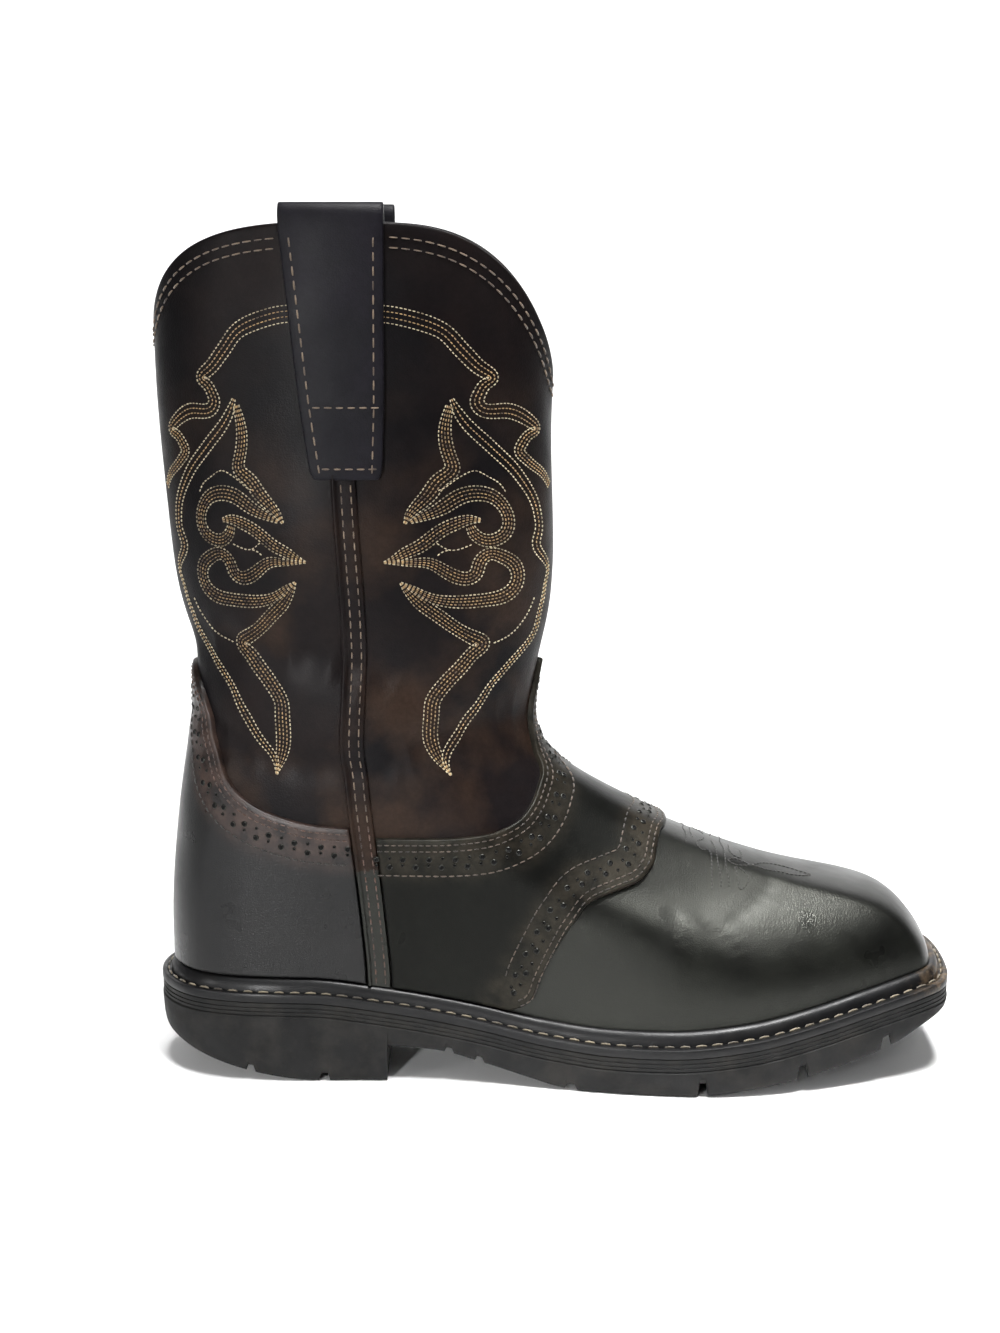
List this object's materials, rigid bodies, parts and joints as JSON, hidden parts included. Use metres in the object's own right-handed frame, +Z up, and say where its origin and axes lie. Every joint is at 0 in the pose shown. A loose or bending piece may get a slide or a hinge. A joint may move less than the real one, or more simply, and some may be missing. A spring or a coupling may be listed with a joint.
{
  "type": "western work boot",
  "caption": "Tall pull-on western work boot with a square toe, scalloped collar, pull straps, stitched welt with a rolled lip and a lugged rubber sole.",
  "frame": {"origin": "on the ground, under the middle of the boot's bounding box", "axes": "+X to the toe, +Y to the inner side of the foot, +Z up"},
  "size_m": [0.3078, 0.1114, 0.329],
  "materials": {
    "black_rubber": "matt moulded rubber, sole and heel in one",
    "tan_footbed": "tan leather footbed",
    "black_welt": "glossy black welt with a rolled lip",
    "oiled_brown_leather": "very dark brown oiled leather",
    "smooth_dark_leather": "near-black smooth leather, half gloss"
  },
  "bodies": {
    "root": {"outsole": "black_rubber", "midsole": "black_rubber", "insole": "tan_footbed", "welt": "black_welt", "upper": "oiled_brown_leather", "counter": "smooth_dark_leather", "saddle": "smooth_dark_leather", "side_seam_outer": "smooth_dark_leather", "side_seam_inner": "smooth_dark_leather", "pull_strap_outer": "oiled_brown_leather", "pull_strap_inner": "oiled_brown_leather"}
  },
  "joints": []
}
